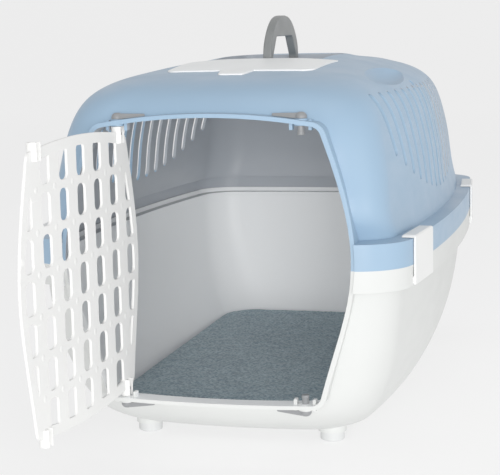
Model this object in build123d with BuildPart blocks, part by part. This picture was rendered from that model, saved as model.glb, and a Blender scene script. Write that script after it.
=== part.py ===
from build123d import *
import os
from math import atan2, degrees, hypot

# Pet transport carrier: a white tub, a vented top shell, a swinging grille door with four
# turning latches, four side clips, a folding bail handle, a roof lid, a floor mat and four feet.
# Frame: origin on the floor under the middle of the tub, +Z up, the doorway faces -Y. Millimetres.

os.makedirs("parts", exist_ok=True)

# ---- driving dimensions -------------------------------------------------------------------
WALL = 3.0
SEAM = 188.0

# Body stations from the floor up: height, half width, front, rear, corner radius.
TUB_STATIONS = (
    (6.0, 110.0, -180.0, 200.0, 42.0),
    (14.0, 130.0, -217.0, 232.0, 48.0),
    (27.0, 146.0, -247.0, 254.0, 52.0),
    (46.0, 159.0, -268.0, 268.0, 53.0),
    (72.0, 171.0, -278.0, 276.0, 52.0),
    (105.0, 180.5, -286.5, 282.0, 50.0),
    (136.0, 185.5, -292.0, 286.0, 46.0),
    (162.0, 187.5, -295.0, 288.5, 44.0),
    (SEAM, 186.0, -296.0, 290.0, 42.0),
)
TOP_STATIONS = (
    (SEAM, 184.0, -296.0, 290.0, 42.0),
    (230.0, 179.5, -294.0, 286.0, 44.0),
    (270.0, 174.5, -290.0, 281.0, 46.0),
    (300.0, 169.0, -284.0, 275.0, 48.0),
    (322.0, 163.0, -276.0, 267.0, 50.0),
    (338.0, 155.0, -264.0, 257.0, 52.0),
    (349.0, 143.5, -248.0, 245.0, 54.0),
    (357.0, 128.5, -221.0, 228.0, 56.0),
    (362.0, 114.0, -180.0, 207.0, 56.0),
    (366.5, 98.0, -130.0, 180.0, 54.0),
    (370.0, 77.0, -82.0, 147.0, 46.0),
    (372.5, 45.0, -32.0, 100.0, 30.0),
)
# How far the plan's four sides bow out between the corners.
FRONT_PULL = 18.0
FRONT_BOW = 9.0
REAR_PULL = 24.0
REAR_BOW = 7.0

# Flange where the two shells meet.
RIM_HALF = 199.0
RIM_FRONT = -309.0
RIM_REAR = 305.0
RIM_CORNER = 52.0
RIM_TOP = 212.0
RIM_BOTTOM = 168.0
TONGUE = 5.0
TONGUE_GAP = 0.4
TONGUE_THICK = 2.5

# Doorway: a barrel outline with a thin raised lip.
MOUTH_TOP = 325.0
MOUTH_TOP_CORNER = (106.0, 315.5)
MOUTH_WIDEST = (136.5, SEAM)
MOUTH_LOW_CORNER = (103.0, 58.5)
MOUTH_BOTTOM = 56.0
MOUTH_SLOPES = ((0.39, -1), (-0.26, -1))
MOUTH_RADIUS = 11.0
LIP = 3.6
LIP_SEAM_FRONT = -301.5
LIP_TOP_FRONT = -291.0
LIP_LOW_FRONT = -288.0
LIP_BACK = -262.0

# Door and its pins.
PIN_X = 88.0
PIN_Y = -279.0
PIN_SHAFT_R = 3.2
PIN_END_R = 3.6
PIN_BORE_R = 3.28
PIN_TOP_END = 308.5
PIN_LOW_END = 66.5
SEAT_TOP = 323.4
SEAT_LOW = 52.0
DOOR_OPEN_DEG = 93.0
DOOR_THICK = 2.4
DOOR_HALF_TOP = 102.0
DOOR_HALF_MID = 124.5
DOOR_HALF_LOW = 104.0
DOOR_TOP_CENTRE = 316.0
DOOR_TOP_SIDE = 308.5
DOOR_MID_Z = 195.0
DOOR_SLOPES = ((0.28, -1), (-0.16, -1))
DOOR_ROUND = 9.0
DOOR_LOW_CENTRE = 60.0
DOOR_LOW_SIDE = 67.5
DOOR_BORDER = 9.0
HOLE_PITCH_X = 35.5
HOLE_PITCH_Z = 35.3
HOLE_ROUND = 6.0
HOLE_COUNT = 7
HOLE_WIDTH = 17.5
HOLE_HEIGHT = 28.5
HOLE_ROW_MID = 188.5
KNUCKLE_R = 6.0
KNUCKLE_BORE_R = 3.68
KNUCKLE_THROAT = 7.6
KNUCKLE_TOP = (301.0, 316.5)
KNUCKLE_LOW = (58.7, 74.0)
HOOK_SLACK = 0.5

# Latch levers.
LATCH_HEAD_R = 5.6
LATCH_HEAD_H = 5.6
LATCH_ARM = 28.0
LATCH_TIP_R = 2.2
LATCH_ROOT_R = 4.2
LATCH_ROOT_THICK = 4.8
LATCH_TIP_THICK = 2.0
LATCH_DRAFT = 1.6
LATCH_RISE = 2.5
LATCH_DOME = 4.4
COLLAR = 2.5
LATCH_GAP = 0.3
LUG_THICK = 3.0
LUG_DEEP = 6.5
LUG_OFFSET = 9.0
LUG_TOP_END = 313.0
LUG_LOW_END = 62.5
SEAT_R = 6.5
SEAT_TOP_UNDER = 317.0
SEAT_LOW_OVER = 58.2

# Side clips.
CLIP_HALF_LENGTH = 34.0
CLIP_FRONT_Y = -224.0
CLIP_REAR_Y = 185.0
CLIP_GAP = 0.4
CLIP_LIFT = 0.6
CLIP_BOTTOM = 169.5
CLIP_WEB = (170.5, 177.0)
CLIP_ROUND = 1.2
CLIP_CORNER = 5.0
CLIP_THICK = 2.0
CLIP_TOP_THICK = 2.4
CLIP_HOOK = 11.0
CLIP_PIVOT_U = -5.0
CLIP_PIVOT_Z = 173.5
CLIP_KNUCKLE_R = 3.8
CLIP_PIN_R = 2.0
CLIP_BORE_R = 2.08
EAR_THICK = 5.0
EAR_GAP = 0.5
EAR_ROOT = -13.0
EAR_BOTTOM = 168.5

# Handle.
HANDLE_Y = 11.5
HANDLE_PIVOT_Z = 363.0
HANDLE_HALF_LENGTH = 64.5
HANDLE_SHOULDER = (55.5, 394.5)
HANDLE_TOP = 417.0
HANDLE_KNEE = 372.5
HANDLE_GRIP_R = 7.0
HANDLE_WIDTH = 9.0
HANDLE_INNER_BASE = 54.0
HANDLE_INNER_TOP = 36.0
HANDLE_INNER_Z = 394.5
HANDLE_EYE_R = 5.5
HANDLE_PIN_R = 3.0
HANDLE_BORE_R = 3.07
HANDLE_SIDE_GAP = 0.5
HANDLE_BOSS = 4.5
PIN_SLACK = 0.03
WELL_HALF_X = 60.0
WELL_HALF_Y = 69.5
WELL_FLOOR = 356.0
WELL_CORNER = 12.0

# Roof lid and the compartment under it.
LID_HALF_X = 80.0
LID_FRONT = -172.0
LID_CORNER = 13.0
LID_TAPER = 5.0
TAB_ROUND = 4.0
LID_THICK = 2.6
LID_PROUD = 1.2
LID_SEAT = 2.1
LID_GAP = 0.5
TAB_FRONT = -199.0
TAB_HALF_ROOT = 17.0
TAB_HALF_TIP = 12.5
HINGE_Y = -67.0
HINGE_Z = 369.5
HINGE_BARREL_R = 1.9
HINGE_TROUGH_R = 2.3
HINGE_HALF = 28.0
HINGE_EAR = 6.0
HINGE_DEEP = 5.5
HINGE_PIN_R = 0.9
HINGE_BORE_R = 0.96
TRAY_INSET = 9.0
TRAY_FLOOR = 335.0
TRAY_WALL = 2.5
TRAY_CORNER = 10.0
LEDGE_THICK = 3.5

# Vents: a fan of slots in each side wall.
VENT_COUNT = 16
VENT_FIRST_Y = -206.0
VENT_PITCH = 28.0
VENT_WIDTH = 10.5
VENT_INNER_X = 120.0
VENT_TOP = 341.5
VENT_LOWEST = 232.0
VENT_LOWEST_Y = 13.0
VENT_CURVE = 950.0
VENT_FAN = 0.045

# Strap recess on the shoulder, one on each side, diagonally opposite.
SCOOP_X = 136.0
SCOOP_Z = 361.4
SCOOP_R = 20.0
SCOOP_HALF_LENGTH = 105.0
SCOOP_Y = -90.0
STRAP_SLOT = (5.0, 12.0, 34.0)
STRAP_SLOTS = ((-5.0, -24.0), (14.0, 65.0))

# Raised floor, feet and mat.
FLOOR_TOP = 34.0
FLOOR_HALF = 110.0
FLOOR_FRONT = -214.0
FLOOR_REAR = 226.0
FLOOR_CORNER = 40.0
FOOT_X = 95.0
FOOT_FRONT_Y = -193.0
FOOT_REAR_Y = 172.0
FOOT_R = 12.0
FOOT_HEIGHT = 9.0
FOOT_ROUND = 1.5
FOOT_STEM_R = 3.5
FOOT_STEM = 5.0
FOOT_BOSS_R = 14.0
FOOT_HOLE_R = 3.55
MAT_HALF_X = 129.0
MAT_FRONT = -232.0
MAT_REAR = 240.0
MAT_CORNER = 42.0
MAT_THICK = 5.0
MAT_LIFT = 0.3

FAR = 500.0


def save(part, name):
    """Label a finished piece and write it as one STEP file."""
    part.label = name
    export_step(part, f"parts/{name}.step")


# ---- the body's outline --------------------------------------------------------------------
def plan(level, half, front, rear, corner):
    """Sketch the body's plan outline at one height: four bowed sides with round corners."""
    near = (half - FRONT_PULL, front + FRONT_BOW)
    far = (half - REAR_PULL, rear - REAR_BOW)
    middle = (front + rear) / 2
    with BuildSketch(Plane.XY.offset(level)) as outline:
        with BuildLine():
            ThreePointArc((-near[0], near[1]), (0, front), near)
            ThreePointArc(near, (half, middle), far)
            ThreePointArc(far, (0, rear), (-far[0], far[1]))
            ThreePointArc((-far[0], far[1]), (-half, middle), (-near[0], near[1]))
        make_face()
        fillet(outline.vertices(), corner)
    return outline


def rim_plan(level, grow=0.0):
    """Sketch the flange's outline, grown outwards."""
    return plan(level, RIM_HALF + grow, RIM_FRONT - grow, RIM_REAR + grow, RIM_CORNER + grow)


def inward(stations, wall):
    """Move each station inwards, square to the side profile, by the wall thickness."""
    moved = []
    last = len(stations) - 1
    for index, (level, half, front, rear, corner) in enumerate(stations):
        below = stations[max(index - 1, 0)]
        above = stations[min(index + 1, last)]
        rise = above[0] - below[0]
        run = above[1] - below[1]
        length = hypot(rise, run)
        across = wall * rise / length
        down = -wall * run / length
        moved.append((level - down, half - across, front + across, rear - across, corner - across / 2))
    return moved


def mouth(grow=0.0):
    """Sketch the doorway's barrel outline on the XZ plane, grown outwards."""
    top = (MOUTH_TOP_CORNER[0] + grow, MOUTH_TOP_CORNER[1] + grow)
    widest = (MOUTH_WIDEST[0] + grow, MOUTH_WIDEST[1])
    low = (MOUTH_LOW_CORNER[0] + grow, MOUTH_LOW_CORNER[1] - grow)
    with BuildSketch(Plane.XZ) as outline:
        with BuildLine():
            ThreePointArc((-top[0], top[1]), (0, MOUTH_TOP + grow), top)
            side = Spline(top, widest, low, tangents=MOUTH_SLOPES)
            mirror(side, about=Plane.YZ)
            ThreePointArc(low, (0, MOUTH_BOTTOM - grow), (-low[0], low[1]))
        make_face()
        fillet(outline.vertices(), MOUTH_RADIUS + grow)
    return outline


# ---- shared solids ---------------------------------------------------------------------------
def sections(stations):
    """Sketch every station of a body, from the lowest to the highest."""
    return [plan(*station).sketch.face() for station in stations]


with BuildPart() as tub_form:
    loft(sections(TUB_STATIONS))

with BuildPart() as top_form:
    loft(sections(TOP_STATIONS))

with BuildPart() as top_cabin:
    loft(sections(inward(TOP_STATIONS, WALL)))

with BuildPart() as mouth_plug:
    extrude(mouth(LIP).sketch.face(), amount=-RIM_FRONT + TONGUE)

with BuildPart() as mouth_lip:
    add(mouth_plug.part)
    extrude(mouth().sketch.face(), amount=-RIM_FRONT + TONGUE, mode=Mode.SUBTRACT)
    with BuildSketch(Plane.YZ):
        with BuildLine():
            Polyline(
                (LIP_LOW_FRONT, MOUTH_BOTTOM - LIP),
                (LIP_SEAM_FRONT, SEAM),
                (LIP_TOP_FRONT, MOUTH_TOP + LIP),
                (LIP_BACK, MOUTH_TOP + LIP),
                (LIP_BACK, MOUTH_BOTTOM - LIP),
                close=True,
            )
        make_face()
    extrude(amount=RIM_HALF, both=True, mode=Mode.INTERSECT)


def slab(low, high):
    """Make the block that spans the whole object between two heights."""
    size = 2 * FAR
    return Pos(0, 0, (low + high) / 2) * Box(size, size, high - low, mode=Mode.PRIVATE)


def rim_side(y):
    """Find the flange's edge at one length: its X and its outward direction."""
    near = (RIM_HALF - FRONT_PULL, RIM_FRONT + FRONT_BOW)
    far = (RIM_HALF - REAR_PULL, RIM_REAR - REAR_BOW)
    edge = Edge.make_three_point_arc(near, (RIM_HALF, (RIM_FRONT + RIM_REAR) / 2), far)
    centre = edge.arc_center
    across = (edge.radius**2 - (y - centre.Y) ** 2) ** 0.5
    return centre.X + across, across / edge.radius, (y - centre.Y) / edge.radius


def clip_plane(side, y):
    """Place a sketch plane square to the flange: local X is outward, local Y is up."""
    edge_x, out_x, out_y = rim_side(y)
    return Plane(
        origin=(side * edge_x, y, 0),
        x_dir=(side * out_x, out_y, 0),
        z_dir=(out_y, -side * out_x, 0),
    )


def clip_front(side, y):
    """Place a sketch plane along the flange: local X is lengthwise, local Y is up."""
    across = clip_plane(side, y)
    return Plane(origin=across.origin, x_dir=across.z_dir, z_dir=across.x_dir * -1)


CLIP_SPOTS = {
    "front_left": (-1, CLIP_FRONT_Y),
    "front_right": (1, CLIP_FRONT_Y),
    "rear_left": (-1, CLIP_REAR_Y),
    "rear_right": (1, CLIP_REAR_Y),
}
FOOT_SPOTS = {
    "front_left": (-FOOT_X, FOOT_FRONT_Y),
    "front_right": (FOOT_X, FOOT_FRONT_Y),
    "rear_left": (-FOOT_X, FOOT_REAR_Y),
    "rear_right": (FOOT_X, FOOT_REAR_Y),
}
LATCH_SPOTS = {
    "top_left": (-1, 1),
    "top_right": (1, 1),
    "bottom_left": (-1, -1),
    "bottom_right": (1, -1),
}


def upright(x, y, low, high, radius):
    """Make a vertical cylinder between two heights."""
    return Pos(x, y, (low + high) / 2) * Cylinder(radius, high - low, mode=Mode.PRIVATE)


def block(x, y, low, high, wide, deep):
    """Make an upright box between two heights."""
    return Pos(x, y, (low + high) / 2) * Box(wide, deep, high - low, mode=Mode.PRIVATE)


def clip_box(side, y, inner, outer, low, high, half):
    """Make a block along the flange: two distances outward, two heights, a half length."""
    with BuildPart() as piece:
        with BuildSketch(clip_plane(side, y)):
            with Locations(((inner + outer) / 2, (low + high) / 2)):
                Rectangle(outer - inner, high - low)
        extrude(amount=half, both=True)
    return piece.part


def ears(side, y):
    """Make the two blocks behind the flange that hold one clip's pin."""
    outer_half = CLIP_HALF_LENGTH + EAR_GAP + EAR_THICK
    inner_half = CLIP_HALF_LENGTH + EAR_GAP
    span = clip_box(side, y, EAR_ROOT, 1 - WALL, EAR_BOTTOM, SEAM - 1, outer_half)
    return span - clip_box(side, y, 2 * EAR_ROOT, 1, RIM_BOTTOM, SEAM, inner_half)


def clip_window(side, y):
    """Make the notch in the flange's skirt that one clip swings through."""
    half = CLIP_HALF_LENGTH + EAR_GAP
    return clip_box(side, y, -WALL - 1, WALL, RIM_BOTTOM - 1, SEAM - WALL, half)


def clip_pin(side, y, radius):
    """Make the rod through both ears of one clip."""
    at = clip_plane(side, y)
    half = CLIP_HALF_LENGTH + EAR_GAP + EAR_THICK
    with BuildPart() as rod:
        with BuildSketch(at):
            with Locations((CLIP_PIVOT_U, CLIP_PIVOT_Z)):
                Circle(radius)
        extrude(amount=half, both=True)
    return rod.part


# ---- base tub ---------------------------------------------------------------------------------
with BuildPart() as lower_flange:
    extrude(rim_plan(RIM_BOTTOM).sketch.face(), amount=SEAM - RIM_BOTTOM)
    gap_height = SEAM - RIM_BOTTOM - WALL
    extrude(rim_plan(RIM_BOTTOM, -WALL).sketch.face(), amount=gap_height, mode=Mode.SUBTRACT)

with BuildPart() as platform:
    with BuildSketch(Plane.XY.offset(FLOOR_TOP)):
        with Locations((0, (FLOOR_FRONT + FLOOR_REAR) / 2)):
            RectangleRounded(2 * FLOOR_HALF, FLOOR_REAR - FLOOR_FRONT, FLOOR_CORNER)
    extrude(amount=-FLOOR_TOP)

with BuildPart() as under_recess:
    with BuildSketch(Plane.XY.offset(FLOOR_TOP - WALL)):
        with Locations((0, (FLOOR_FRONT + FLOOR_REAR) / 2)):
            length = FLOOR_REAR - FLOOR_FRONT - 2 * WALL
            RectangleRounded(2 * (FLOOR_HALF - WALL), length, FLOOR_CORNER - WALL)
    extrude(amount=WALL - FLOOR_TOP)
    for spot in FOOT_SPOTS.values():
        add(upright(*spot, 0, FLOOR_TOP, FOOT_BOSS_R), mode=Mode.SUBTRACT)

with BuildPart() as tub_cabin:
    loft(sections(inward(TUB_STATIONS, WALL)))
    extrude(tub_cabin.faces().sort_by(Axis.Z)[-1], amount=WALL)
    add(platform.part, mode=Mode.SUBTRACT)

with BuildPart() as base_tub:
    add(tub_form.part)
    for spot in FOOT_SPOTS.values():
        add(upright(*spot, FOOT_HEIGHT, FLOOR_TOP, FOOT_BOSS_R))
    add(lower_flange.part)
    for spot in CLIP_SPOTS.values():
        add(ears(*spot))
        add(clip_window(*spot), mode=Mode.SUBTRACT)
    with BuildSketch(Plane.XY.offset(SEAM)):
        add(rim_plan(SEAM, -WALL - TONGUE_GAP).sketch)
        add(rim_plan(SEAM, -WALL - TONGUE_GAP - TONGUE_THICK).sketch, mode=Mode.SUBTRACT)
    extrude(amount=TONGUE)
    add(mouth_plug.part, mode=Mode.SUBTRACT)
    add(mouth_lip.part & slab(0, SEAM))
    for x in (-PIN_X, PIN_X):
        add(upright(x, PIN_Y, SEAT_LOW, SEAT_LOW_OVER, SEAT_R))
        for offset in (-LUG_OFFSET, LUG_OFFSET):
            add(block(x + offset, PIN_Y, SEAT_LOW, LUG_LOW_END, LUG_THICK, LUG_DEEP))
        add(upright(x, PIN_Y, 0, SEAM, PIN_BORE_R), mode=Mode.SUBTRACT)
    add(tub_cabin.part, mode=Mode.SUBTRACT)
    add(under_recess.part, mode=Mode.SUBTRACT)
    for spot in FOOT_SPOTS.values():
        add(upright(*spot, 0, FOOT_HEIGHT, FOOT_BOSS_R + 1), mode=Mode.SUBTRACT)
        add(upright(*spot, 0, FOOT_HEIGHT + FOOT_STEM + 1, FOOT_HOLE_R), mode=Mode.SUBTRACT)
    for spot in CLIP_SPOTS.values():
        add(clip_pin(*spot, CLIP_PIN_R), mode=Mode.SUBTRACT)
save(base_tub.part, "base_tub")


# ---- roof lid outline, well and compartment ----------------------------------------------------
def lid_outline(grow, rear):
    """Sketch the lid seen from above, tab at the front, grown outwards on three sides."""
    half = LID_HALF_X + grow
    front = LID_FRONT - grow
    with BuildSketch(Plane.XY.offset(TRAY_FLOOR)) as outline:
        with BuildLine():
            Polyline(
                (half, rear),
                (half - LID_TAPER, front),
                (TAB_HALF_ROOT + grow, front),
                (TAB_HALF_TIP + grow, TAB_FRONT - grow),
                (-TAB_HALF_TIP - grow, TAB_FRONT - grow),
                (-TAB_HALF_ROOT - grow, front),
                (LID_TAPER - half, front),
                (-half, rear),
                close=True,
            )
        make_face()
        fillet(outline.vertices().sort_by(Axis.Y)[0:2], TAB_ROUND)
        corners = outline.vertices().filter_by(lambda v: abs(v.X) > TAB_HALF_ROOT + LID_CORNER)
        fillet(corners.sort_by(Axis.Y)[0:2], LID_CORNER)
    return outline


def roof(drop):
    """Give the top shell's solid form moved down by a depth."""
    return Pos(0, 0, -drop) * top_form.part


def hinge_rod(radius, half):
    """Make a rod along the lid's hinge axis."""
    axis = Pos(0, HINGE_Y, HINGE_Z) * Rot(0, 90, 0)
    return axis * Cylinder(radius, 2 * half, mode=Mode.PRIVATE)


def vent(side, y):
    """Make the cutter of one vent slot."""
    low = VENT_LOWEST + (y - VENT_LOWEST_Y) ** 2 / VENT_CURVE + VENT_WIDTH / 2
    high = VENT_TOP - VENT_WIDTH / 2
    lean = VENT_FAN * (y - VENT_LOWEST_Y)
    length = hypot(lean, high - low)
    middle = (side * VENT_INNER_X, y + lean / 2, (low + high) / 2)
    with BuildPart() as cutter:
        with BuildSketch(Plane(origin=middle, x_dir=(0, 1, 0), z_dir=(1, 0, 0))):
            SlotCenterToCenter(length, VENT_WIDTH, rotation=degrees(atan2(high - low, lean)))
        extrude(amount=side * (RIM_HALF - VENT_INNER_X))
    return cutter.part


def scoop(side, radius, half_length):
    """Make the spindle that forms one strap recess."""
    centre = (side * SCOOP_X, side * SCOOP_Y, SCOOP_Z)
    with BuildPart() as spindle:
        with BuildSketch(Plane(origin=centre, x_dir=(0, 1, 0), z_dir=(1, 0, 0))):
            with BuildLine():
                ThreePointArc((-half_length, 0), (0, radius), (half_length, 0))
                Line((half_length, 0), (-half_length, 0))
            make_face()
        revolve(axis=Axis(centre, (0, 1, 0)))
    return spindle.part


with BuildPart() as well:
    with BuildSketch(Plane.XY.offset(WELL_FLOOR)):
        with Locations((0, HANDLE_Y)):
            RectangleRounded(2 * WELL_HALF_X, 2 * WELL_HALF_Y, WELL_CORNER)
    extrude(amount=HANDLE_TOP - WELL_FLOOR)

with BuildPart() as well_block:
    with BuildSketch(Plane.XY.offset(WELL_FLOOR - WALL)):
        with Locations((0, HANDLE_Y)):
            RectangleRounded(2 * (WELL_HALF_X + WALL), 2 * (WELL_HALF_Y + WALL), WELL_CORNER + WALL)
    extrude(amount=HANDLE_TOP - WELL_FLOOR)
    add(top_form.part, mode=Mode.INTERSECT)

tray_length = HINGE_Y - LID_FRONT - 2 * TRAY_INSET
tray_centre = (HINGE_Y + LID_FRONT) / 2
with BuildPart() as tray:
    with BuildSketch(Plane.XY.offset(TRAY_FLOOR)):
        with Locations((0, tray_centre)):
            RectangleRounded(2 * (LID_HALF_X - LID_TAPER - TRAY_INSET), tray_length, TRAY_CORNER)
    extrude(amount=HANDLE_TOP - TRAY_FLOOR)

with BuildPart() as lid_seat:
    seat_rear = HINGE_Y + HINGE_TROUGH_R + LID_GAP
    extrude(lid_outline(LID_GAP, seat_rear).sketch.face(), amount=HANDLE_TOP - TRAY_FLOOR)
    add(roof(LID_SEAT), mode=Mode.SUBTRACT)

with BuildPart() as tray_block:
    extrude(lid_outline(LID_GAP + WALL, HINGE_Y + HINGE_TROUGH_R + WALL).sketch.face(), amount=HANDLE_TOP)
    add(roof(LID_SEAT + LEDGE_THICK), mode=Mode.SUBTRACT)
    with BuildSketch(Plane.XY.offset(TRAY_FLOOR - TRAY_WALL)):
        with Locations((0, tray_centre)):
            wide = 2 * (LID_HALF_X - LID_TAPER - TRAY_INSET + TRAY_WALL)
            RectangleRounded(wide, tray_length + 2 * TRAY_WALL, TRAY_CORNER + TRAY_WALL)
    extrude(amount=HANDLE_TOP - TRAY_FLOOR)
    add(block(0, HINGE_Y, HINGE_Z - HINGE_DEEP, HANDLE_TOP, 2 * (HINGE_HALF + HINGE_EAR), 2 * HINGE_DEEP))
    add(top_form.part, mode=Mode.INTERSECT)


def handle_rod(radius, half):
    """Make a rod along the handle's folding axis."""
    turn = Pos(0, HANDLE_Y, HANDLE_PIVOT_Z) * Rot(90, 0, 0)
    return turn * Cylinder(radius, 2 * half, mode=Mode.PRIVATE)


# ---- top shell -----------------------------------------------------------------------------------
with BuildPart() as lip_above:
    add(mouth_lip.part & slab(SEAM, FAR))
    add(top_cabin.part, mode=Mode.SUBTRACT)

with BuildPart() as top_shell:
    add(top_form.part)
    extrude(rim_plan(SEAM).sketch.face(), amount=RIM_TOP - SEAM)
    add(top_cabin.part, mode=Mode.SUBTRACT)
    extrude(rim_plan(SEAM, -WALL).sketch.face(), amount=RIM_TOP - SEAM - WALL, mode=Mode.SUBTRACT)
    add(mouth_plug.part, mode=Mode.SUBTRACT)
    add(lip_above.part)
    add(well_block.part)
    add(tray_block.part)
    add(well.part, mode=Mode.SUBTRACT)
    add(lid_seat.part, mode=Mode.SUBTRACT)
    add(tray.part, mode=Mode.SUBTRACT)
    add(hinge_rod(HINGE_TROUGH_R, HINGE_HALF + LID_GAP), mode=Mode.SUBTRACT)
    add(hinge_rod(HINGE_PIN_R + PIN_SLACK, HINGE_HALF + HINGE_EAR), mode=Mode.SUBTRACT)
    for end in (-1, 1):
        y = HANDLE_Y + end * (WELL_HALF_Y - HANDLE_BOSS / 2)
        turn = Pos(0, y, HANDLE_PIVOT_Z) * Rot(90, 0, 0)
        add(turn * Cylinder(HANDLE_EYE_R, HANDLE_BOSS, mode=Mode.PRIVATE))
    add(handle_rod(HANDLE_PIN_R + PIN_SLACK, WELL_HALF_Y + WALL + 1), mode=Mode.SUBTRACT)
    for side in (-1, 1):
        add(scoop(side, SCOOP_R + WALL, SCOOP_HALF_LENGTH + WALL) & top_form.part)
        add(scoop(side, SCOOP_R, SCOOP_HALF_LENGTH), mode=Mode.SUBTRACT)
        for x, y in STRAP_SLOTS:
            place = (side * (SCOOP_X + x), side * (SCOOP_Y + y))
            low = SCOOP_Z - STRAP_SLOT[2]
            add(block(*place, low, SCOOP_Z, STRAP_SLOT[0], STRAP_SLOT[1]), mode=Mode.SUBTRACT)
        for index in range(VENT_COUNT):
            add(vent(side, VENT_FIRST_Y + index * VENT_PITCH), mode=Mode.SUBTRACT)
    for x in (-PIN_X, PIN_X):
        add(upright(x, PIN_Y, SEAT_TOP_UNDER, SEAT_TOP, SEAT_R))
        for offset in (-LUG_OFFSET, LUG_OFFSET):
            add(block(x + offset, PIN_Y, LUG_TOP_END, SEAT_TOP - 1, LUG_THICK, LUG_DEEP))
        add(upright(x, PIN_Y, SEAM, SEAT_TOP + 1, PIN_BORE_R), mode=Mode.SUBTRACT)
save(top_shell.part, "top_shell")


# ---- door grille, built closed about its hinge axis ------------------------------------------
def door_outline(inset):
    """Sketch the door's barrel outline, drawn in by an inset; local X runs from the hinge."""
    top = (DOOR_HALF_TOP - inset, DOOR_TOP_SIDE - inset)
    widest = (DOOR_HALF_MID - inset, DOOR_MID_Z)
    low = (DOOR_HALF_LOW - inset, DOOR_LOW_SIDE + inset)
    with BuildSketch(Plane.XZ) as outline:
        with BuildLine():
            ThreePointArc((-top[0], top[1]), (0, DOOR_TOP_CENTRE - inset), top)
            side = Spline(top, widest, low, tangents=DOOR_SLOPES)
            mirror(side, about=Plane.YZ)
            ThreePointArc(low, (0, DOOR_LOW_CENTRE + inset), (-low[0], low[1]))
        make_face()
        fillet(outline.vertices(), DOOR_ROUND - inset / 2)
    return Pos(PIN_X, 0, 0) * outline.sketch


def hook(x, low, high):
    """Make one solid hinge hook at a pin, before its bore is cut."""
    return upright(x, 0, low, high, KNUCKLE_R)


def hook_bore(x, low, high):
    """Make the round bore of a hook together with its throat."""
    throat = block(x, KNUCKLE_R, low, high, KNUCKLE_THROAT, 2 * KNUCKLE_R)
    return upright(x, 0, low, high, KNUCKLE_BORE_R) + throat


with BuildPart() as door_closed:
    extrude(door_outline(0).face(), amount=DOOR_THICK / 2, both=True)
    with BuildSketch(Plane.XZ):
        with Locations((PIN_X, HOLE_ROW_MID)):
            with GridLocations(HOLE_PITCH_X, HOLE_PITCH_Z, HOLE_COUNT, HOLE_COUNT):
                RectangleRounded(HOLE_WIDTH, HOLE_HEIGHT, HOLE_ROUND)
        add(door_outline(DOOR_BORDER), mode=Mode.INTERSECT)
    extrude(amount=DOOR_THICK, both=True, mode=Mode.SUBTRACT)
    for x in (0, 2 * PIN_X):
        for ends in (KNUCKLE_TOP, KNUCKLE_LOW):
            add(hook(x, *ends))
            add(hook_bore(x, ends[0] - HOOK_SLACK, ends[1] + HOOK_SLACK), mode=Mode.SUBTRACT)

door_grille = Pos(-PIN_X, PIN_Y, 0) * Rot(0, 0, -DOOR_OPEN_DEG) * door_closed.part
save(door_grille, "door_grille")


# ---- latches -----------------------------------------------------------------------------------
def arm_outline(root, inward_x, level, inset):
    """Sketch a lever arm seen from above at one height, drawn in by an inset."""
    tip = root + inward_x * (LATCH_ARM - LATCH_TIP_R)
    with BuildSketch(Plane.XY.offset(level)) as outline:
        with Locations((root, PIN_Y)):
            Circle(LATCH_ROOT_R - inset)
        with Locations((tip, PIN_Y)):
            Circle(LATCH_TIP_R - inset)
        make_hull()
    return outline.sketch.face()


def latch(side, up):
    """Make one latch: a domed head with its lever arm, the pin and the pin's end collar."""
    seat = SEAT_TOP + LATCH_GAP if up > 0 else SEAT_LOW - LATCH_GAP
    pin_end = PIN_TOP_END if up > 0 else PIN_LOW_END
    rise = LATCH_RISE if up > 0 else 0
    inward_x = -side
    root = side * PIN_X
    with BuildPart() as lever:
        foot = arm_outline(root, inward_x, seat, 0)
        ridge = arm_outline(root, inward_x, seat + up * LATCH_HEAD_H, LATCH_DRAFT)
        loft([foot, ridge], ruled=True)
        with BuildSketch(Plane.XZ.offset(-PIN_Y)):
            with BuildLine():
                Polyline(
                    (root + side * LATCH_HEAD_R, seat),
                    (root + inward_x * LATCH_ROOT_R, seat),
                    (root + inward_x * LATCH_ARM, seat + up * rise),
                    (root + inward_x * LATCH_ARM, seat + up * (rise + LATCH_TIP_THICK)),
                    (root + inward_x * LATCH_ROOT_R, seat + up * LATCH_ROOT_THICK),
                    (root + side * LATCH_HEAD_R, seat + up * LATCH_ROOT_THICK),
                    close=True,
                )
            make_face()
        extrude(amount=LATCH_HEAD_R, both=True, mode=Mode.INTERSECT)
        head = upright(root, PIN_Y, *sorted((seat, seat + up * LATCH_HEAD_H)), LATCH_HEAD_R)
        rim = head.edges().filter_by(GeomType.CIRCLE).sort_by(Axis.Z)[-1 if up > 0 else 0]
        add(head.fillet(LATCH_DOME, [rim]))
        add(upright(root, PIN_Y, *sorted((pin_end, seat)), PIN_SHAFT_R))
        add(upright(root, PIN_Y, *sorted((pin_end, pin_end + up * COLLAR)), PIN_END_R))
    return lever.part


for place, spot in LATCH_SPOTS.items():
    save(latch(*spot), f"latch_{place}")


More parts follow.
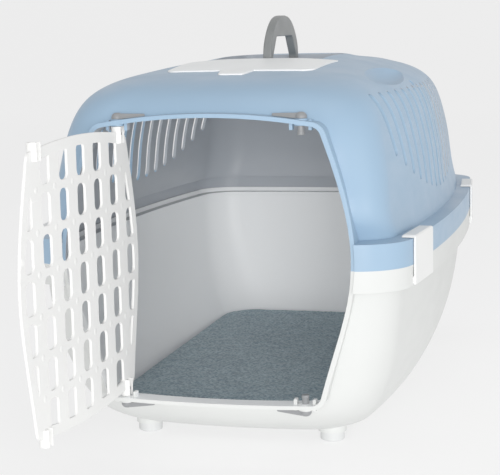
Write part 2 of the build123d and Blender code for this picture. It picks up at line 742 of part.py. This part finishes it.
# ---- side clips -----------------------------------------------------------------------------
def side_clip(side, y):
    """Make one clip: a hook over the flange, an outer plate and a knuckle round its pin."""
    outer = CLIP_GAP + CLIP_THICK
    under = RIM_TOP + CLIP_LIFT
    with BuildPart() as clip:
        with BuildSketch(clip_plane(side, y)):
            with BuildLine():
                Polyline(
                    (-CLIP_HOOK, under),
                    (-CLIP_HOOK, under + CLIP_TOP_THICK - CLIP_ROUND),
                    (CLIP_ROUND - CLIP_HOOK, under + CLIP_TOP_THICK),
                    (outer - CLIP_ROUND, under + CLIP_TOP_THICK),
                    (outer, under + CLIP_TOP_THICK - CLIP_ROUND),
                    (outer, CLIP_BOTTOM),
                    (CLIP_GAP, CLIP_BOTTOM),
                    (CLIP_GAP, CLIP_WEB[0]),
                    (CLIP_PIVOT_U, CLIP_WEB[0]),
                    (CLIP_PIVOT_U, CLIP_WEB[1]),
                    (CLIP_GAP, CLIP_WEB[1]),
                    (CLIP_GAP, under),
                    close=True,
                )
            make_face()
            with Locations((CLIP_PIVOT_U, CLIP_PIVOT_Z)):
                Circle(CLIP_KNUCKLE_R)
                Circle(CLIP_BORE_R, mode=Mode.SUBTRACT)
        extrude(amount=CLIP_HALF_LENGTH, both=True)
        with BuildSketch(clip_front(side, y)):
            with Locations((0, CLIP_BOTTOM)):
                height = 2 * (under + CLIP_TOP_THICK - CLIP_BOTTOM)
                RectangleRounded(2 * CLIP_HALF_LENGTH, height, CLIP_CORNER)
        extrude(amount=2 * CLIP_HOOK, both=True, mode=Mode.INTERSECT)
    return clip.part


for place, spot in CLIP_SPOTS.items():
    save(side_clip(*spot), f"side_clip_{place}")
    save(clip_pin(*spot, CLIP_PIN_R), f"clip_pin_{place}")

# ---- handle ------------------------------------------------------------------------------------
BAIL_PLANE = Plane(origin=(0, HANDLE_Y, 0), x_dir=(0, 1, 0), z_dir=(1, 0, 0))

with BuildPart() as carry_handle:
    with BuildSketch(BAIL_PLANE):
        with BuildLine() as bail:
            Line((-HANDLE_HALF_LENGTH, HANDLE_PIVOT_Z), (-HANDLE_HALF_LENGTH, HANDLE_KNEE))
            Spline(
                (-HANDLE_HALF_LENGTH, HANDLE_KNEE),
                (-HANDLE_SHOULDER[0], HANDLE_SHOULDER[1]),
                (0, HANDLE_TOP),
                tangents=((0, 1), (1, 0)),
            )
            mirror(bail.edges(), about=Plane.YZ)
            Line((-HANDLE_HALF_LENGTH, HANDLE_PIVOT_Z), (HANDLE_HALF_LENGTH, HANDLE_PIVOT_Z))
        make_face()
    extrude(amount=HANDLE_WIDTH / 2, both=True)
    with BuildSketch(BAIL_PLANE) as gap:
        with BuildLine():
            Polyline(
                (-HANDLE_INNER_BASE, WELL_FLOOR),
                (-HANDLE_INNER_BASE, HANDLE_KNEE),
                (-HANDLE_INNER_TOP, HANDLE_INNER_Z),
                (HANDLE_INNER_TOP, HANDLE_INNER_Z),
                (HANDLE_INNER_BASE, HANDLE_KNEE),
                (HANDLE_INNER_BASE, WELL_FLOOR),
                close=True,
            )
        make_face()
        fillet(gap.vertices().sort_by(Axis.Y)[4:6], HANDLE_GRIP_R)
    extrude(amount=HANDLE_WIDTH, both=True, mode=Mode.SUBTRACT)
    for end in (-1, 1):
        y = HANDLE_Y + end * (HANDLE_HALF_LENGTH + HANDLE_INNER_BASE) / 2
        turn = Pos(0, y, HANDLE_PIVOT_Z) * Rot(90, 0, 0)
        leg = HANDLE_HALF_LENGTH - HANDLE_INNER_BASE
        add(turn * Cylinder(HANDLE_EYE_R, leg, mode=Mode.PRIVATE))
    add(handle_rod(HANDLE_BORE_R, FAR / 2), mode=Mode.SUBTRACT)
save(carry_handle.part, "carry_handle")

for place, end in (("front", -1), ("rear", 1)):
    with BuildPart() as handle_pin:
        outer = WELL_HALF_Y + WALL
        inner = HANDLE_INNER_BASE + HANDLE_SIDE_GAP
        turn = Pos(0, HANDLE_Y + end * (outer + inner) / 2, HANDLE_PIVOT_Z) * Rot(90, 0, 0)
        add(turn * Cylinder(HANDLE_PIN_R, outer - inner, mode=Mode.PRIVATE))
    save(handle_pin.part, f"handle_pin_{place}")

# ---- roof lid --------------------------------------------------------------------------------
with BuildPart() as roof_lid:
    extrude(lid_outline(0, HINGE_Y).sketch.face(), amount=HANDLE_TOP - TRAY_FLOOR)
    add(roof(-LID_PROUD), mode=Mode.INTERSECT)
    add(roof(LID_THICK - LID_PROUD), mode=Mode.SUBTRACT)
    add(hinge_rod(HINGE_BARREL_R, HINGE_HALF))
    add(hinge_rod(HINGE_BORE_R, HINGE_HALF + HINGE_EAR), mode=Mode.SUBTRACT)
save(roof_lid.part, "roof_lid")

with BuildPart() as lid_hinge_pin:
    add(hinge_rod(HINGE_PIN_R, HINGE_HALF + HINGE_EAR - 1))
save(lid_hinge_pin.part, "lid_hinge_pin")

# ---- mat and feet ---------------------------------------------------------------------------
with BuildPart() as floor_mat:
    with BuildSketch(Plane.XY.offset(FLOOR_TOP + MAT_LIFT)):
        with Locations((0, (MAT_FRONT + MAT_REAR) / 2)):
            RectangleRounded(2 * MAT_HALF_X, MAT_REAR - MAT_FRONT, MAT_CORNER)
    extrude(amount=MAT_THICK)
save(floor_mat.part, "floor_mat")

for place, spot in FOOT_SPOTS.items():
    with BuildPart() as foot:
        add(upright(*spot, 0, FOOT_HEIGHT, FOOT_R))
        fillet(foot.edges().group_by(Axis.Z)[0], FOOT_ROUND)
        add(upright(*spot, FOOT_HEIGHT, FOOT_HEIGHT + FOOT_STEM, FOOT_STEM_R))
    save(foot.part, f"foot_{place}")
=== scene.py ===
"""Looks for the pet transport carrier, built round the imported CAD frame. Metres, +Z up, -Y front."""
import math

import bmesh
import bpy
from mathutils import Matrix, Vector, noise


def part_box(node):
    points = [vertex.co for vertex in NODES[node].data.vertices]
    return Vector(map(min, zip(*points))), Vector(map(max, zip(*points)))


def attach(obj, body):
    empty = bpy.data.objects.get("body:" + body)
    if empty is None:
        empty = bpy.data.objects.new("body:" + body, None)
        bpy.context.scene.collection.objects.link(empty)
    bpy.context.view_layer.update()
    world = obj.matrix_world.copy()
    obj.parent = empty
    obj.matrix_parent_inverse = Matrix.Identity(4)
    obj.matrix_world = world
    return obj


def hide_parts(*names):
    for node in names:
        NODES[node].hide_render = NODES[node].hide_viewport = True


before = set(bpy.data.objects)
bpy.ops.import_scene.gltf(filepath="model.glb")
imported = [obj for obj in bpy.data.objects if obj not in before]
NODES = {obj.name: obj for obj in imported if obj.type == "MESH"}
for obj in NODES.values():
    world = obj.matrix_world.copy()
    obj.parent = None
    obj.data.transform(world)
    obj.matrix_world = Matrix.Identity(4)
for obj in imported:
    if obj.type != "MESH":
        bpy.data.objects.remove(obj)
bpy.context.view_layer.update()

# ---- camera: a long lens from the front right, a little above the carrier -------------------
AZIMUTH, ELEVATION, ROLL = math.radians(15.11), math.radians(8.5), math.radians(-1.27)
TARGET = Vector((-0.0226, -0.0550, 0.1789))
DISTANCE = 1.560
LENS, SENSOR = 103.3, 36.0


def add_camera():
    """Place the camera on the line back from its target, rolled slightly."""
    sin_a, cos_a = math.sin(AZIMUTH), math.cos(AZIMUTH)
    sin_e, cos_e = math.sin(ELEVATION), math.cos(ELEVATION)
    back = Vector((sin_a * cos_e, -cos_a * cos_e, sin_e))
    level = Vector((cos_a, sin_a, 0.0))
    above = back.cross(level)
    right = level * math.cos(ROLL) + above * math.sin(ROLL)
    up = above * math.cos(ROLL) - level * math.sin(ROLL)
    data = bpy.data.cameras.new("camera")
    data.lens = LENS
    data.sensor_width = SENSOR
    camera = bpy.data.objects.new("camera", data)
    spot = TARGET + back * DISTANCE
    camera.matrix_world = Matrix(
        (
            (right.x, up.x, back.x, spot.x),
            (right.y, up.y, back.y, spot.y),
            (right.z, up.z, back.z, spot.z),
            (0.0, 0.0, 0.0, 1.0),
        )
    )
    bpy.context.collection.objects.link(camera)
    bpy.context.scene.camera = camera


# ---- node material helpers -------------------------------------------------------------------
CABIN_MIDDLE = (0.0, 0.0, 0.20)
MIX_FIRST, MIX_SECOND, MIX_RESULT = 6, 7, 2  # the colour sockets of the mix node


def srgb(red, green, blue):
    """Turn 0-255 display values into a linear colour."""
    def channel(value):
        value /= 255.0
        return value / 12.92 if value <= 0.04045 else ((value + 0.055) / 1.055) ** 2.4
    return (channel(red), channel(green), channel(blue), 1.0)


class Nodes:
    """A small helper that adds nodes to one material and links them."""

    def __init__(self, name):
        self.material = bpy.data.materials.new(name)
        self.material.use_nodes = True
        self.tree = self.material.node_tree
        self.shader = self.tree.nodes["Principled BSDF"]
        self.place = self.tree.nodes.new("ShaderNodeTexCoord").outputs["Object"]

    def add(self, kind, **settings):
        node = self.tree.nodes.new(kind)
        for key, value in settings.items():
            setattr(node, key, value)
        return node

    def link(self, start, end):
        self.tree.links.new(start, end)

    def noise(self, scale, detail=2.0, stretch=None):
        """Noise over the piece's own coordinates; scale is in cells per metre."""
        node = self.add("ShaderNodeTexNoise")
        node.inputs["Scale"].default_value = scale
        node.inputs["Detail"].default_value = detail
        place = self.place
        if stretch:
            mapping = self.add("ShaderNodeMapping")
            mapping.inputs["Scale"].default_value = stretch
            self.link(place, mapping.inputs["Vector"])
            place = mapping.outputs["Vector"]
        self.link(place, node.inputs["Vector"])
        return node.outputs["Fac"]

    def mix(self, factor, first, second):
        """Blend two colours; either may be a socket or a colour."""
        node = self.add("ShaderNodeMix", data_type="RGBA")
        self.link(factor, node.inputs["Factor"])
        for value, index in ((first, MIX_FIRST), (second, MIX_SECOND)):
            if isinstance(value, bpy.types.NodeSocket):
                self.link(value, node.inputs[index])
            else:
                node.inputs[index].default_value = value
        return node.outputs[MIX_RESULT]

    def ramp(self, value, low, high, bottom=0.0, top=1.0):
        """Stretch a value from low..high to bottom..top."""
        node = self.add("ShaderNodeMapRange")
        self.link(value, node.inputs["Value"])
        limits = {"From Min": low, "From Max": high, "To Min": bottom, "To Max": top}
        for name, number in limits.items():
            node.inputs[name].default_value = number
        return node.outputs["Result"]

    def facing_in(self):
        """1 on faces that look towards the middle of the cabin, 0 on faces that look away; the mask
        for the painted light and shade inside the cabin.
        """
        geometry = self.add("ShaderNodeNewGeometry")
        outward = self.add("ShaderNodeVectorMath", operation="SUBTRACT")
        self.link(geometry.outputs["Position"], outward.inputs[0])
        outward.inputs[1].default_value = CABIN_MIDDLE
        facing = self.add("ShaderNodeVectorMath", operation="DOT_PRODUCT")
        self.link(outward.outputs["Vector"], facing.inputs[0])
        self.link(geometry.outputs["True Normal"], facing.inputs[1])
        return self.ramp(facing.outputs["Value"], -0.02, -0.04)

    def bump(self, height, strength, distance, below=None):
        """Turn a height into a normal, on top of another normal if one is given."""
        node = self.add("ShaderNodeBump")
        node.inputs["Strength"].default_value = strength
        node.inputs["Distance"].default_value = distance
        self.link(height, node.inputs["Height"])
        if below is not None:
            self.link(below, node.inputs["Normal"])
        return node.outputs["Normal"]


def shade(colour, share):
    """The same colour made darker or lighter, up to full white."""
    return tuple(min(1.0, channel * share) for channel in colour[:3]) + (1.0,)


MOULD_GRAIN = 1500.0
MOULD_TINT = 0.04
MOULD_SPECULAR = 0.4


def moulded(name, colour, rough=0.42, inner=None):
    """Satin injection-moulded plastic: fine grain, slow tone drift and faint rub marks.
    inner is a colour painted on the faces that look in towards the cabin's middle, standing in for the
    light and shade inside the cabin rather than a colour of the plastic."""
    nodes = Nodes(name)
    drift = nodes.noise(7.0, 3.0)
    darker = shade(colour, 1 - MOULD_TINT)
    lighter = shade(colour, 1 + MOULD_TINT / 2)
    tone = nodes.mix(nodes.ramp(drift, 0.35, 0.65), darker, lighter)
    if inner:
        # painted light and shade: faces that look into the cabin take the inner colour to stand in for
        # how the inside is lit
        tone = nodes.mix(nodes.facing_in(), tone, inner)
    nodes.link(tone, nodes.shader.inputs["Base Color"])
    rub = nodes.noise(26.0, 5.0, stretch=(1.0, 1.0, 2.5))
    sheen = nodes.ramp(rub, 0.3, 0.7, rough - 0.05, rough + 0.07)
    nodes.link(sheen, nodes.shader.inputs["Roughness"])
    grain = nodes.bump(nodes.noise(MOULD_GRAIN, 2.0), 0.16, 0.0004)
    nodes.link(grain, nodes.shader.inputs["Normal"])
    nodes.shader.inputs["Specular IOR Level"].default_value = MOULD_SPECULAR
    return nodes.material


def steel(name):
    """Drawn wire: fine lines along the rod."""
    nodes = Nodes(name)
    lines = nodes.noise(900.0, 3.0, stretch=(1.0, 0.05, 1.0))
    tone = nodes.mix(lines, srgb(150, 152, 155), srgb(190, 192, 195))
    nodes.link(tone, nodes.shader.inputs["Base Color"])
    nodes.shader.inputs["Metallic"].default_value = 1.0
    nodes.link(nodes.ramp(lines, 0.3, 0.7, 0.28, 0.42), nodes.shader.inputs["Roughness"])
    return nodes.material


def rubber(name, colour):
    """Pale non-slip rubber with a dusty bloom."""
    nodes = Nodes(name)
    bloom = nodes.noise(60.0, 4.0)
    tone = nodes.mix(bloom, shade(colour, 0.9), colour)
    nodes.link(tone, nodes.shader.inputs["Base Color"])
    nodes.shader.inputs["Roughness"].default_value = 0.7
    nodes.link(nodes.bump(nodes.noise(2200.0, 2.0), 0.25, 0.0004), nodes.shader.inputs["Normal"])
    return nodes.material


def carpet(name):
    """Heathered needle-felt carpet: two yarn tones in short tufts over a slow patchiness."""
    nodes = Nodes(name)
    fleck = nodes.ramp(nodes.noise(330.0, 3.0), 0.42, 0.58)
    patch = nodes.ramp(nodes.noise(90.0, 4.0), 0.38, 0.62)
    dark = nodes.mix(patch, srgb(82, 112, 127), srgb(102, 132, 145))
    pale = nodes.mix(patch, srgb(134, 163, 175), srgb(158, 184, 193))
    nodes.link(nodes.mix(fleck, dark, pale), nodes.shader.inputs["Base Color"])
    nodes.shader.inputs["Roughness"].default_value = 0.95
    nodes.shader.inputs["Specular IOR Level"].default_value = 0.1
    nodes.shader.inputs["Sheen Weight"].default_value = 0.3
    tufts = nodes.bump(nodes.noise(700.0, 5.0), 0.7, 0.0015)
    nodes.link(nodes.bump(nodes.noise(120.0, 3.0), 0.35, 0.003, tufts), nodes.shader.inputs["Normal"])
    return nodes.material


# the shell's inner colour is painted shade: its inside faces are made greyer to stand in for the
# shadow inside the cabin, not a second plastic colour
BLUE = moulded("blue_shell", srgb(128, 159, 187), inner=srgb(158, 164, 172))
# the tub's inner colour is painted light: its inside faces are made lighter than its outside to stand
# in for the light inside the cabin
WHITE = moulded("white_tub", srgb(203, 205, 203), inner=srgb(244, 246, 247))
DOOR_WHITE = moulded("white_door", srgb(236, 236, 234))
CLIP_WHITE = moulded("white_clip", srgb(226, 227, 226))
LID_WHITE = moulded("pale_lid", srgb(240, 243, 244))
HANDLE_GREY = moulded("grey_handle", srgb(102, 105, 105))
LATCH_GREY = moulded("grey_latch", srgb(118, 120, 122), rough=0.38)
PIN_STEEL = steel("pin_steel")
FOOT = rubber("foot_rubber", srgb(202, 204, 204))
CARPET = carpet("mat_carpet")


def paint(material, *names):
    """Give CAD nodes a material in place of the plain one."""
    for name in names:
        mesh = NODES[name].data
        if not NODES[name].material_slots:
            mesh.materials.append(material)
        for place in NODES[name].material_slots:
            place.material = material


PLACES = ("front_left", "front_right", "rear_left", "rear_right")
LATCHES = tuple(f"latch_{place}" for place in ("top_left", "top_right", "bottom_left", "bottom_right"))
CLIPS = tuple(f"side_clip_{place}" for place in PLACES)
CLIP_PINS = tuple(f"clip_pin_{place}" for place in PLACES)
paint(BLUE, "top_shell")
paint(WHITE, "base_tub")
paint(DOOR_WHITE, "door_grille")
paint(LID_WHITE, "roof_lid")
paint(HANDLE_GREY, "carry_handle")
paint(LATCH_GREY, *LATCHES)
paint(CLIP_WHITE, *CLIPS)
paint(PIN_STEEL, "handle_pin_front", "handle_pin_rear", "lid_hinge_pin", *CLIP_PINS)
paint(FOOT, *(f"foot_{place}" for place in PLACES))


# ---- rounded edges on the moulded parts ---------------------------------------------------------
WELD_REACH = 0.00001
SHARP = math.radians(35)


def soften(width, *names):
    """Round a CAD node's sharp edges, as a mould leaves them."""
    for name in names:
        weld = NODES[name].modifiers.new("weld", "WELD")
        weld.merge_threshold = WELD_REACH
        bevel = NODES[name].modifiers.new("bevel", "BEVEL")
        bevel.width = width
        bevel.segments = 2
        bevel.limit_method = "ANGLE"
        bevel.angle_limit = SHARP
        bevel.use_clamp_overlap = True
        bevel.harden_normals = False


soften(0.0009, "door_grille")
soften(0.0008, *CLIPS)
soften(0.0006, *LATCHES)
soften(0.0012, "carry_handle")
soften(0.0006, "roof_lid")


# ---- pieces built by mesh -----------------------------------------------------------------------
def mesh_piece(name, mesh, material):
    """Turn a bmesh into a smooth object with one material."""
    bmesh.ops.recalc_face_normals(mesh, faces=mesh.faces)
    data = bpy.data.meshes.new(name)
    mesh.to_mesh(data)
    mesh.free()
    for face in data.polygons:
        face.use_smooth = True
    data.materials.append(material)
    piece = bpy.data.objects.new(name, data)
    bpy.context.collection.objects.link(piece)
    return piece


MAT_SIZE = (0.258, 0.472)
MAT_CORNER = 0.042
PILE_STEP = 0.003
PILE_TOP = 0.0004  # how far the pile's mean height is below the CAD mat's top
TUFT, TUFT_SCALE = 0.0006, 300
LUMP, LUMP_SCALE, LUMP_LAYER = 0.0005, 60, 5.0
CUT_EDGE, CUT_DROP = 0.004, 0.0018


def pile_height(x, y, edge):
    """The carpet's height over its mean: tufts, wider lumps, and a drop at the cut edge."""
    tuft = TUFT * noise.noise(Vector((x, y, 0.0)) * TUFT_SCALE)
    lump = LUMP * noise.noise(Vector((x, y, LUMP_LAYER)) * LUMP_SCALE)
    return tuft + lump - CUT_DROP * max(0.0, 1 - edge / CUT_EDGE) ** 2


def carpet_mat():
    """The floor mat: a laid sheet of carpet with a soft cut edge and an uneven pile."""
    low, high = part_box("floor_mat")
    centre = (low + high) / 2
    half_x, half_y = MAT_SIZE[0] / 2, MAT_SIZE[1] / 2
    columns, rows = round(MAT_SIZE[0] / PILE_STEP), round(MAT_SIZE[1] / PILE_STEP)
    mesh = bmesh.new()
    top, under = [], []
    for row in range(rows + 1):
        y = -half_y + MAT_SIZE[1] * row / rows
        past = max(0.0, abs(y) - (half_y - MAT_CORNER))
        wide = half_x - MAT_CORNER + math.sqrt(max(0.0, MAT_CORNER**2 - past**2))
        above, below = [], []
        for column in range(columns + 1):
            x = wide * (2 * column / columns - 1)
            edge = min(wide - abs(x), half_y - abs(y))
            height = high.z - PILE_TOP + pile_height(x, y, edge)
            above.append(mesh.verts.new((centre.x + x, centre.y + y, height)))
            below.append(mesh.verts.new((centre.x + x, centre.y + y, low.z)))
        top.append(above)
        under.append(below)
    for grid, flip in ((top, False), (under, True)):
        for near, far in zip(grid, grid[1:]):
            for column in range(columns):
                face = [near[column], near[column + 1], far[column + 1], far[column]]
                mesh.faces.new(face[::-1] if flip else face)
    ring = [(0, c) for c in range(columns)] + [(r, columns) for r in range(rows)]
    ring += [(rows, c) for c in range(columns, 0, -1)] + [(r, 0) for r in range(rows, 0, -1)]
    for (row, column), (next_row, next_column) in zip(ring, ring[1:] + ring[:1]):
        mesh.faces.new(
            (
                under[row][column],
                under[next_row][next_column],
                top[next_row][next_column],
                top[row][column],
            )
        )
    mat = mesh_piece("carpet_mat", mesh, CARPET)
    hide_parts("floor_mat")
    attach(mat, "carrier")


HINGE = Vector((-0.088, -0.279, 0.0))
DOOR_OPEN = math.radians(-93)
DOOR_FACE = 0.0012  # half the door's thickness
GRID_X, GRID_Z = 0.0355, 0.0353
GRID_MIDDLE = (0.088, 0.1885)
STUD_RADIUS, STUD_RISE, STUD_SINK = 0.0036, 0.0004, 0.0002
STUD_RINGS = (1.0, 0.75, 0.4)  # shares of the radius, from the sunk rim inwards
STUD_STEPS = 16


def stud(mesh, turn, x, z, face):
    """One low dome at x, z of the closed door, on its front (-1) or rear (1) face."""
    rings = []
    for share in STUD_RINGS:
        rise = STUD_RISE * math.cos(share * math.pi / 2)
        if share == STUD_RINGS[0]:
            rise -= STUD_SINK
        ring = []
        for step in range(STUD_STEPS):
            angle = math.tau * step / STUD_STEPS
            across = STUD_RADIUS * share * math.cos(angle)
            up = STUD_RADIUS * share * math.sin(angle)
            place = Vector((x + across, face * (DOOR_FACE + rise), z + up))
            ring.append(mesh.verts.new(HINGE + turn @ place))
        rings.append(ring)
    for outer, inner in zip(rings, rings[1:]):
        for step in range(STUD_STEPS):
            after = (step + 1) % STUD_STEPS
            mesh.faces.new((outer[step], outer[after], inner[after], inner[step]))
    mesh.faces.new(rings[-1])


def door_studs():
    """Faint round studs on both faces of the door, one where each pair of bars crosses."""
    mesh = bmesh.new()
    turn = Matrix.Rotation(DOOR_OPEN, 4, "Z")
    for column in range(-3, 3):
        for row in range(-3, 3):
            x = GRID_MIDDLE[0] + (column + 0.5) * GRID_X
            z = GRID_MIDDLE[1] + (row + 0.5) * GRID_Z
            for face in (-1, 1):
                stud(mesh, turn, x, z, face)
    studs = mesh_piece("door_studs", mesh, DOOR_WHITE)
    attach(studs, "door")


carpet_mat()
door_studs()


# ---- studio -------------------------------------------------------------------------------------
FLOOR_HALF, FLOOR_FRONT, FLOOR_REAR = 9.0, -9.0, 5.0
CURVE_RADIUS, CURVE_STEPS = 2.5, 16
WALL_TOP = 9.0
BACKDROP_TONE, BACKDROP_GLOW, GLOW_STRENGTH = srgb(170, 170, 170), srgb(236, 236, 236), 0.68


def backdrop():
    """A pale floor that curves up behind the carrier, so no horizon shows."""
    mesh = bmesh.new()
    line = [(FLOOR_FRONT, 0.0)]
    for step in range(CURVE_STEPS + 1):
        angle = math.pi / 2 * step / CURVE_STEPS
        line.append(
            (
                FLOOR_REAR + CURVE_RADIUS * math.sin(angle),
                CURVE_RADIUS * (1 - math.cos(angle)),
            )
        )
    line.append((FLOOR_REAR + CURVE_RADIUS, WALL_TOP))
    rows = [[mesh.verts.new((x, y, z)) for x in (-FLOOR_HALF, FLOOR_HALF)] for y, z in line]
    for low, high in zip(rows, rows[1:]):
        mesh.faces.new((low[0], low[1], high[1], high[0]))
    data = bpy.data.meshes.new("backdrop")
    mesh.to_mesh(data)
    mesh.free()
    for face in data.polygons:
        face.use_smooth = True
    thing = bpy.data.objects.new("backdrop", data)
    nodes = Nodes("backdrop")
    nodes.shader.inputs["Base Color"].default_value = BACKDROP_TONE
    nodes.shader.inputs["Emission Color"].default_value = BACKDROP_GLOW
    nodes.shader.inputs["Emission Strength"].default_value = GLOW_STRENGTH
    nodes.shader.inputs["Roughness"].default_value = 1.0
    nodes.shader.inputs["Specular IOR Level"].default_value = 0.0
    data.materials.append(nodes.material)
    bpy.context.collection.objects.link(thing)


def area(name, place, towards, size, power):
    """A square soft box at a place, turned towards a point."""
    data = bpy.data.lights.new(name, "AREA")
    data.shape = "SQUARE"
    data.size = size
    data.energy = power
    lamp = bpy.data.objects.new(name, data)
    lamp.location = place
    lamp.rotation_mode = "QUATERNION"
    lamp.rotation_quaternion = (Vector(towards) - Vector(place)).to_track_quat("-Z", "Y")
    bpy.context.collection.objects.link(lamp)


SKY_STRENGTH = 0.40
GAMMA = 1.4


def studio():
    """Even sky light with soft boxes: two in front, one on the right, one above."""
    world = bpy.data.worlds.new("studio")
    world.use_nodes = True
    background = world.node_tree.nodes["Background"]
    background.inputs["Color"].default_value = (1.0, 1.0, 1.0, 1.0)
    background.inputs["Strength"].default_value = SKY_STRENGTH
    bpy.context.scene.world = world
    area("key", (0.35, -3.6, 0.45), (0.0, -0.1, 0.2), 1.3, 43.0)
    area("cross", (1.3, -3.2, 0.45), (0.0, 0.1, 0.2), 1.0, 46.0)
    area("side", (2.8, -1.5, 0.6), (0.0, -0.1, 0.2), 1.2, 18.0)
    area("top", (0.2, -0.4, 2.4), (0.0, 0.0, 0.3), 1.4, 6.0)
    bpy.context.scene.view_settings.view_transform = "Standard"
    bpy.context.scene.view_settings.gamma = GAMMA


add_camera()
backdrop()
studio()
